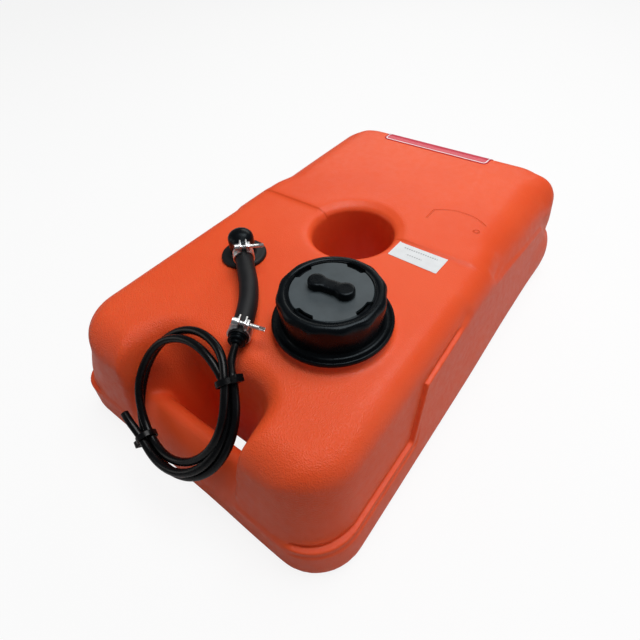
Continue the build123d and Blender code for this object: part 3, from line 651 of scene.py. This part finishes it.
def add_block(shape, size, centre):
    block = bmesh.ops.create_cube(shape, size=1)["verts"]
    bmesh.ops.scale(shape, verts=block, vec=size)
    bmesh.ops.translate(shape, verts=block, vec=centre)


peanut = bmesh.new()
for side in (-1, 1):
    add_round(peanut, knob_end, knob_height, Matrix.Translation((side * knob_reach, 0, knob_height / 2)),
              top_radius=knob_end * knob_taper, segments=48)
add_block(peanut, (2 * knob_reach, 2 * knob_waist, knob_height * waist_share),
          (0, 0, knob_height * waist_share / 2))
bmesh.ops.rotate(peanut, verts=peanut.verts, cent=(0, 0, 0), matrix=Matrix.Rotation(knob_turn, 3, "Z"))
bmesh.ops.translate(peanut, verts=peanut.verts, vec=filler + Vector((0, 0, knob_foot)))
knob = piece_from(peanut, "vent_knob_grip", "vent", "vent_knob")
settled(
    knob,
    ("REMESH", {"mode": "VOXEL", "voxel_size": 0.0006, "use_smooth_shade": True}),
    ("SMOOTH", {"factor": 0.5, "iterations": 30}),
)
coat(knob, cap_plastic)

# ---- Outlet grommet and elbow ----------------------------------------------
# A soft black rubber grommet pressed into the deck, and the moulded elbow that plugs into it: an
# upright leg, a domed corner and a short spout that dips towards the hose.
grommet_height, elbow_height, elbow_radius, elbow_dome = 0.0042, 0.0205, 0.012, 0.0082
leg_radius, leg_depth, spout_length = 0.0078, 0.012, 0.0146
heading, dip = radians(-40.5), radians(12)
hose_radius = 0.0082
corner = outlet + Vector((0, 0, front_deck + elbow_height))
outward = Vector((cos(dip) * cos(heading), cos(dip) * sin(heading), -sin(dip)))
grommet = spun([
    # lip below the wall and throat through it
    (0.008, front_deck - 0.0082), (0.011, front_deck - 0.0082), (0.0135, front_deck - 0.004),
    (grommet_hole, front_deck - 0.0038), (grommet_hole, front_deck + 0.0003),
    # disc on the deck, with a rounded edge
    (0.0205, front_deck + 0.0001), (0.0214, front_deck + 0.0006), (0.0215, front_deck + 0.0020),
    (0.0210, front_deck + 0.0030), (0.0200, front_deck + 0.0038), (0.0185, front_deck + grommet_height),
    # collar round the elbow
    (0.0135, front_deck + grommet_height), (0.0128, front_deck + 0.0046),
    (0.0122, front_deck + 0.0056), (0.008, front_deck + 0.0056),
], "grommet", "tank", "outlet_grommet", centre=outlet)

rubber, nodes, links, skin, place = new_finish("black_rubber", {
    "Roughness": 0.55, "Specular IOR Level": 0.3})
coloured(80.0, (0.35, (0.0042, 0.0046, 0.0056)), (0.75, (0.0085, 0.009, 0.0105)), detail=5.0)
grained(900.0, 0.25, 0.0003)
coat(grommet, rubber)

bend = bmesh.new()
collar, collar_lift = elbow_height - grommet_height, 0.0003
add_round(bend, elbow_radius, collar, Matrix.Translation(corner - Vector((0, 0, collar / 2 - collar_lift))))
dome = bmesh.ops.create_uvsphere(bend, u_segments=64, v_segments=40, radius=elbow_radius)["verts"]
bmesh.ops.scale(bend, verts=dome, vec=(1, 1, elbow_dome / elbow_radius))
bmesh.ops.translate(bend, verts=dome, vec=corner)
leg = elbow_height + leg_depth
add_round(bend, leg_radius, leg, Matrix.Translation(corner - Vector((0, 0, leg / 2))), segments=48)
aim = outward.to_track_quat("Z", "Y").to_matrix().to_4x4()
add_round(bend, hose_radius, spout_length, Matrix.Translation(corner + outward * spout_length / 2) @ aim)
elbow = piece_from(bend, "elbow", "tank", "outlet_elbow")
settled(
    elbow,
    ("REMESH", {"mode": "VOXEL", "voxel_size": 0.0007, "use_smooth_shade": True}),
    ("SMOOTH", {"factor": 0.5, "iterations": 24}),
)
coat(elbow, cap_plastic)

# ---- Formed hose -----------------------------------------------------------
# Short piece of thick fuel hose, moulded to its gentle S shape: matte black rubber over a woven
# lining, 16 mm across, pushed over the elbow's spout and over the reducer.
hose_route = [
    corner + outward * spout_length, corner + outward * 0.0381,
    corner + Vector((0.0470, -0.0396, -0.0085)), corner + Vector((0.0642, -0.0612, -0.0102)),
    corner + Vector((0.0771, -0.0849, -0.0103))]


def cord_line(points, name, radius):
    """Open smooth line whose control points are a route's points, each with the cord's radius."""
    data = bpy.data.curves.new(name, "CURVE")
    data.dimensions = "3D"
    line = data.splines.new("NURBS")
    line.points.add(len(points) - 1)
    for knot, point in zip(line.points, points):
        knot.co = (*point, 1)
        knot.radius = radius
    line.order_u = 3
    line.use_endpoint_u = True
    line.resolution_u = 12
    data.resolution_u = 12
    return data


def line_points(data):
    """Points along a cord's own line, with its bevel off."""
    bare = data.copy()
    bare.bevel_depth = 0
    probe = bpy.data.objects.new("probe", bare)
    mesh = bpy.data.meshes.new_from_object(probe)
    points = [vert.co.copy() for vert in mesh.vertices]
    bpy.data.objects.remove(probe)
    return points


def run_length(points):
    return sum((b - a).length for a, b in zip(points, points[1:]))


def cord_piece(points, name, radius, *stands_for):
    """Round cord along a route, and its length. The bevel of 1 leaves the thickness to the radius."""
    data = cord_line(points, name, radius)
    length = run_length(line_points(data))
    data.bevel_depth = 1.0
    data.bevel_resolution = 10
    data.use_fill_caps = True
    piece = bpy.data.objects.new(name, data)
    bpy.context.collection.objects.link(piece)
    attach(piece, "tank")
    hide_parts(*stands_for)
    return piece, length


hose, hose_length = cord_piece(hose_route, "hose", hose_radius, "fuel_hose")
coat(hose, rubber)

# ---- Hose clamps -----------------------------------------------------------
# Two fuel-hose clamps bent from zinc-plated strip: a plain band whose ends stand up as two ears,
# drawn together by a cross-head screw in a square nut.
band_width, band_thickness, ear_height, ear_gap = 0.0078, 0.0013, 0.0085, 0.004
band_play, band_steps = 0.0001, 72
screw_radius, screw_length, head_radius, head_height = 0.0019, 0.0210, 0.0033, 0.0043
thread_rise, thread_count, thread_core = 0.0008, 22, 0.94
cross_length, cross_width, cross_depth = 0.0042, 0.0010, 0.0026
nut_side, nut_height, nut_round, screw_above = 0.006, 0.0026, 0.0005, 0.0035
upper_from_corner, lower_from_end = 0.022, 0.0054
upper_turn, lower_turn = radians(-7), radians(-18)
hose_end = hose_route[-1]
hose_way = (hose_route[-1] - hose_route[-2]).normalized()
ear_face = ear_gap / 2 + band_thickness


def clamp_frame(point, along):
    """Matrix with X towards the nut, Y up and Z along the hose."""
    up = (Vector((0, 0, 1)) - along * along.z).normalized()
    frame_matrix = Matrix((up.cross(along), up, along)).transposed().to_4x4()
    frame_matrix.translation = point
    return frame_matrix


def draw_up(shape, edges, width):
    """Pull a strip's wall up from its lower edge."""
    wall = bmesh.ops.extrude_edge_only(shape, edges=edges)["geom"]
    raised = [item for item in wall if isinstance(item, bmesh.types.BMVert)]
    bmesh.ops.translate(shape, verts=raised, vec=(0, 0, width))


def softened_edges(width):
    """Settings of a narrow bevel on sharp edges."""
    return "BEVEL", {"width": width, "segments": 2, "limit_method": "ANGLE", "angle_limit": radians(50)}


zinc, nodes, links, skin, place = new_finish("zinc_plate", {"Metallic": 1.0})
coloured(500.0, (0.3, (0.62, 0.63, 0.63)), (0.7, (0.78, 0.79, 0.78)))
roughened(700.0, 0.3, 0.42)
grained(600.0, 0.05, 0.0002)

for side, spot, along, turned in (
        ("upper", corner + outward * upper_from_corner, outward, upper_turn),
        ("lower", hose_end - hose_way * lower_from_end, hose_way, lower_turn)):
    stand = clamp_frame(spot, along) @ Matrix.Rotation(turned, 4, "Z")
    strip = bmesh.new()
    inner = hose_radius + band_play
    opening = ear_gap / 2 / hose_radius
    loop = [Vector((-ear_gap / 2, hose_radius + ear_height, 0))]
    for step in range(band_steps + 1):
        angle = pi / 2 + opening + (2 * pi - 2 * opening) * step / band_steps
        loop.append(Vector((inner * cos(angle), inner * sin(angle), 0)))
    loop.append(Vector((ear_gap / 2, hose_radius + ear_height, 0)))
    spine = [strip.verts.new(point - Vector((0, 0, band_width / 2))) for point in loop]
    draw_up(strip, [strip.edges.new(pair) for pair in zip(spine, spine[1:])], band_width)
    bmesh.ops.recalc_face_normals(strip, faces=strip.faces)
    bmesh.ops.transform(strip, matrix=stand, verts=strip.verts)
    band = piece_from(strip, f"clamp_{side}_band", "tank", f"clamp_band_{side}")
    settled(band, ("SOLIDIFY", {"thickness": band_thickness, "offset": 1.0}), softened_edges(0.00025))

    cross = stand @ Matrix.Translation((0, hose_radius + screw_above, 0)) @ Matrix.Rotation(pi / 2, 4, "Y")
    shank = screw_length - head_height
    bolt = bmesh.new()
    add_round(bolt, head_radius * 0.86, head_height, top_radius=head_radius, segments=32,
              matrix=Matrix.Translation((0, 0, -ear_face - head_height / 2)))
    add_round(bolt, screw_radius * thread_core, shank, segments=32,
              matrix=Matrix.Translation((0, 0, -ear_face + shank / 2)))
    ridge = [bolt.verts.new(point) for point in (
        (screw_radius * 0.9, 0, 0), (screw_radius, 0, 0.0003), (screw_radius * 0.9, 0, 0.0006))]
    ridge_face = bolt.faces.new(ridge)
    bmesh.ops.spin(
        bolt, geom=[ridge_face] + list(ridge_face.edges), cent=(0, 0, 0), axis=(0, 0, 1),
        dvec=(0, 0, thread_rise / 20), angle=2 * pi * thread_count, steps=20 * thread_count)
    bmesh.ops.transform(bolt, matrix=cross, verts=bolt.verts)
    bmesh.ops.recalc_face_normals(bolt, faces=bolt.faces)
    screw = piece_from(bolt, f"clamp_{side}_screw", "tank", f"clamp_screw_{side}")
    recess = bmesh.new()
    for size in ((cross_length, cross_width, cross_depth), (cross_width, cross_length, cross_depth)):
        add_block(recess, size, (0, 0, -ear_face - head_height))
    bmesh.ops.transform(recess, matrix=cross, verts=recess.verts)
    cutter = loose_piece(recess, "recess")
    settled(screw, ("BOOLEAN", {
        "operation": "DIFFERENCE", "solver": "EXACT", "use_self": True, "object": cutter}))
    bpy.data.objects.remove(cutter)

    plate = bmesh.new()
    add_block(plate, (nut_side, nut_side, nut_height), (0, 0, ear_face + nut_height / 2))
    bmesh.ops.bevel(plate, geom=plate.edges[:], offset=nut_round, affect="EDGES", segments=3,
                    profile=0.5, material=-1)
    bmesh.ops.transform(plate, matrix=cross, verts=plate.verts)
    nut = piece_from(plate, f"clamp_{side}_nut", "tank", f"clamp_nut_{side}")
    for piece in (band, screw, nut):
        coat(piece, zinc)

# ---- Reducer ---------------------------------------------------------------
# Small turned black plastic plug in the end of the thick hose, with a collar that stops it and a
# nose that the thin line is pushed into.
collar_radius, collar_length, nose_radius, nose_length = 0.0072, 0.005, 0.0048, 0.0025
plug_radius, plug_depth, plug_bore = 0.0059, 0.0125, 0.0018
line_radius, line_seat = 0.00325, 0.0065
edge_round, collar_groove = 0.0006, 0.0008
nose_end = collar_length + nose_length
reducer = spun([
    (plug_bore, -plug_depth), (plug_radius - 0.0004, -plug_depth), (plug_radius, -0.0118),
    (plug_radius, 0.0), (collar_radius - 0.0005, 0.0), (collar_radius, 0.0005), (collar_radius, 0.0018),
    (collar_radius - collar_groove, 0.0022), (collar_radius - collar_groove, 0.0028),
    (collar_radius, 0.0032), (collar_radius, collar_length - edge_round),
    (collar_radius - edge_round, collar_length), (nose_radius + 0.0005, collar_length),
    (nose_radius, collar_length + 0.0005), (nose_radius, nose_end - edge_round),
    (nose_radius - edge_round, nose_end), (line_radius, nose_end), (line_radius, nose_end - line_seat),
    (plug_bore, nose_end - line_seat),
], "reducer", "tank", "hose_reducer", steps=64)
reducer.data.transform(
    Matrix.Translation(hose_end) @ hose_way.to_track_quat("Z", "Y").to_matrix().to_4x4())
coat(reducer, cap_plastic)

# ---- Thin fuel line --------------------------------------------------------
# 6.5 mm rubber line for the engine, supplied as a loose coil of two and a half turns held by two
# cable ties. It leaves the reducer, runs into the coil at the upper tie and ends in a square cut.
coil_centre, coil_radius = Vector((-0.0017, -0.2160, 0.0928)), 0.0522
coil_axis = Vector((-0.090, -0.748, 0.658)).normalized()
coil_across = (Vector((1, 0, 0)) - coil_axis * coil_axis.x).normalized()
coil_up = coil_axis.cross(coil_across)
first_angle, tie_lower_angle, turns = 45.0, -118.0, 2.453
points_per_turn = 14
# turns done, and the line's place in the bundle there: millimetres outwards and towards the front
winding = [
    (0.000, 3.4, -1.9), (0.120, 3.8, -2.3), (0.227, 4.1, -2.6), (0.453, 3.3, -1.9), (0.600, 1.5, -3.3),
    (0.740, 1.6, -3.4), (0.840, 4.0, -2.8), (0.930, 4.8, -1.2), (1.000, 0.6, 4.2), (1.090, -2.4, 4.3),
    (1.170, -5.8, 2.4), (1.260, -8.6, 0.0), (1.320, -7.0, -1.2), (1.385, -4.4, -1.8), (1.453, -3.3, -1.9),
    (1.600, -1.5, 3.3), (1.740, -1.6, 3.4), (1.840, -4.2, 2.8), (1.930, -5.6, 1.2), (2.000, -3.4, -1.9),
    (2.090, -2.5, -1.6), (2.200, -0.9, 2.0), (2.300, 0.0, 3.5), (2.453, 0.0, 3.9)]


def in_bundle(turn):
    """Place of the line's centre in the bundle, in metres outwards and towards the front."""
    for (t0, out0, up0), (t1, out1, up1) in zip(winding, winding[1:]):
        if turn <= t1 + 1e-9:
            share = smoothstep(turn, t0, t1)
            return (out0 + (out1 - out0) * share) / 1000, (up0 + (up1 - up0) * share) / 1000


def on_coil(angle, radius, height):
    turn = radians(angle)
    return coil_centre + (coil_across * cos(turn) + coil_up * sin(turn)) * radius + coil_axis * height


line_start = hose_end + hose_way * (nose_end - line_seat)
line_route = [line_start, line_start + hose_way * 0.011, corner + Vector((0.0913, -0.1078, -0.0107))]
count = int(turns * points_per_turn)
swell = 1 / (0.75 + 0.25 * cos(2 * pi / points_per_turn))
for step in range(count + 1):
    done = turns * step / count
    out_by, up_by = in_bundle(done)
    line_route.append(on_coil(first_angle - 360 * done, (coil_radius + out_by) * swell, up_by))
line_route += [on_coil(angle, radius, height) for angle, radius, height in (
    (-128.0, 0.0546, 0.0062), (-135.5, 0.0576, 0.0078), (-142.5, 0.0622, 0.0080))]
line, line_length = cord_piece(
    line_route, "thin_line", line_radius, "fuel_line_lead", "fuel_line_coil", "fuel_line_tail")

line_rubber, nodes, links, skin, place = new_finish("glossy_black_line", {"Specular IOR Level": 0.18})
coloured(120.0, (0.3, (0.0018, 0.0019, 0.0023)), (0.75, (0.0038, 0.004, 0.0048)), detail=4.0)
roughened(200.0, 0.20, 0.32)
grained(700.0, 0.08, 0.0003, detail=2.0)
coat(line, line_rubber)

# ---- Cable ties ------------------------------------------------------------
# Two black nylon ties round the coil: a thin plain strap, closed in a square head and cut off with
# a short stub.
strap_width, strap_thickness, strap_gap = 0.0046, 0.0013, 0.0073
head_size, head_out = (0.0058, 0.0076, 0.0056), 0.0032
stub_size, stub_out, stub_along = (0.0013, 0.0022, strap_width), 0.0016, 0.0047
for name, angle in (("upper", first_angle), ("lower", tie_lower_angle)):
    middle = on_coil(angle, coil_radius, 0)
    away = (middle - coil_centre).normalized()
    tangent = away.cross(coil_axis)
    lie = Matrix((away, tangent.cross(away) * -1, tangent)).transposed().to_4x4()
    lie.translation = middle
    strap = bmesh.new()
    bmesh.ops.create_circle(strap, segments=72, radius=strap_gap)
    bmesh.ops.translate(strap, verts=strap.verts, vec=(0, 0, -strap_width / 2))
    draw_up(strap, strap.edges[:], strap_width)
    bmesh.ops.recalc_face_normals(strap, faces=strap.faces)
    ring = loose_piece(strap, "strap")
    settled(ring, ("SOLIDIFY", {"thickness": strap_thickness, "offset": 1.0}))
    tie = bmesh.new()
    tie.from_mesh(ring.data)
    bpy.data.objects.remove(ring)
    add_block(tie, head_size, (strap_gap + head_out, 0, 0))
    add_block(tie, stub_size, (strap_gap + stub_out, stub_along, 0))
    bmesh.ops.transform(tie, matrix=lie, verts=tie.verts)
    bmesh.ops.recalc_face_normals(tie, faces=tie.faces)
    piece = piece_from(tie, f"cable_tie_{name}", "tank", f"tie_{name}")
    settled(piece, softened_edges(0.0003))
    coat(piece, line_rubber)

# ---- Labels ----------------------------------------------------------------
# A small white film label on the front deck, with two rows of plain grey dashes, and a crimson one
# with a white keyline wrapped over the rear shoulder. Both are die-cut film with no words on them.
dash_grey, dash_count, dash_gap, dash_share = (0.12, 0.12, 0.13, 1), 420.0, 0.35, 0.55
row_soft = 0.0002
white_film, nodes, links, skin, place = new_finish("white_film", {"Roughness": 0.4})
for label_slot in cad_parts["label_plate"].material_slots:
    label_slot.material = white_film


def dash_row(south, north_end, west, east_end):
    """1 inside a row of the label, 0 outside."""
    return sums("MULTIPLY", within(north, south, north_end, row_soft),
                within(east, west, east_end, row_soft))


def overprint(share, ink, film_colour):
    """Base colour of a film, with an ink laid over it where share is 1."""
    tint = nodes.new("ShaderNodeMix")
    tint.data_type = "RGBA"
    tint.inputs["B"].default_value = ink
    links.new(share, tint.inputs["Factor"])
    links.new(film_colour, tint.inputs["A"])
    links.new(tint.outputs["Result"], skin.inputs["Base Color"])


east, north, height = along_axes()
dashes = sums("GREATER_THAN", sums("FRACT", sums("MULTIPLY", east, dash_count)), dash_gap)
rows = sums("MAXIMUM", dash_row(0.0165, 0.0182, 0.058, 0.092), dash_row(0.0085, 0.0099, 0.064, 0.080))
overprint(sums("MULTIPLY", dashes, sums("MULTIPLY", rows, dash_share)), dash_grey,
          ramp(noise(120.0), (0.3, (0.72, 0.74, 0.75)), (0.7, (0.78, 0.80, 0.81))))

band_low, band_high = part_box("rear_band")
shoulder, film_lift, film_thickness = 0.025, 0.0002, 0.0003
band_middle_x = (band_low[0] + band_high[0]) / 2
band_half_width = (band_high[0] - band_low[0]) / 2
band_front, band_flat, band_wrap, band_corner = band_low[1], 0.009, radians(62), 0.006
shoulder_y = band_front + band_flat
band_run = band_flat + band_wrap * shoulder
film = bmesh.new()
bmesh.ops.create_grid(film, x_segments=92, y_segments=24, size=1)
for vert in film.verts:
    across, along = vert.co.x * band_half_width, (vert.co.y + 1) / 2 * band_run
    from_side = band_corner - (band_half_width - abs(across))
    from_end = band_corner - min(along, band_run - along)
    if from_side > 0 and from_end > 0:
        spread = max(from_side, from_end) / Vector((from_side, from_end)).length
        across -= (from_side - from_side * spread) * (1 if across > 0 else -1)
        along += (from_end - from_end * spread) * (1 if along < band_run / 2 else -1)
    angle = max(0, along - band_flat) / shoulder
    lift = shoulder + film_lift
    vert.co = (band_middle_x + across,
               shoulder_y + lift * sin(angle) - max(0, band_flat - along),
               rear_deck - shoulder + lift * cos(angle))
bmesh.ops.recalc_face_normals(film, faces=film.faces)
band_film = piece_from(film, "crimson_label", "tank", "rear_band")
settled(band_film, ("SOLIDIFY", {"thickness": film_thickness, "offset": 1.0}))

key_white, key_from, key_to, key_soft = (0.82, 0.80, 0.80, 1), 0.0016, 0.0028, 0.0002
crimson_film, nodes, links, skin, place = new_finish("crimson_film", {"Roughness": 0.3})
east, north, height = along_axes()
wrapped = sums("MULTIPLY", shoulder, sums(
    "ARCTAN2", sums("SUBTRACT", north, shoulder_y), sums("SUBTRACT", height, rear_deck - shoulder)))
on_flat = sums("LESS_THAN", north, shoulder_y)
run = sums("ADD", sums("MULTIPLY", on_flat, sums("SUBTRACT", north, shoulder_y)),
           sums("MULTIPLY", sums("SUBTRACT", 1.0, on_flat), wrapped))
side_gap = sums("SUBTRACT", band_half_width, sums("ABSOLUTE", sums("SUBTRACT", east, band_middle_x)))
end_gap = sums("SUBTRACT", band_run / 2, sums("ABSOLUTE", sums("SUBTRACT", run, band_run / 2 - band_flat)))
corner_side = sums("MAXIMUM", sums("SUBTRACT", band_corner, side_gap), 0.0)
corner_end = sums("MAXIMUM", sums("SUBTRACT", band_corner, end_gap), 0.0)
rounded = sums("SUBTRACT", band_corner, hypotenuse(corner_side, corner_end))
edge_gap = sums("MINIMUM", sums("MINIMUM", side_gap, end_gap), rounded)
overprint(within(edge_gap, key_from, key_to, key_soft), key_white,
          ramp(noise(90.0), (0.3, (0.60, 0.010, 0.045)), (0.7, (0.66, 0.014, 0.055))))
coat(band_film, crimson_film)

# ---- Inner pieces ----------------------------------------------------------
# What the tank and the cap hold inside: dip tube and strainer, the neck's gasket, and the vent
# screw's stem with its seal. Natural plastic and black nitrile.
natural, nodes, links, skin, place = new_finish("natural_plastic", {"Roughness": 0.45})
coloured(100.0, (0.3, (0.55, 0.54, 0.50)), (0.7, (0.62, 0.61, 0.57)))
for name, finish in (("pickup_tube", natural), ("pickup_strainer", natural), ("vent_spindle", natural),
                     ("vent_seal", rubber), ("cap_gasket", rubber)):
    for node_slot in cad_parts[name].material_slots:
        node_slot.material = finish
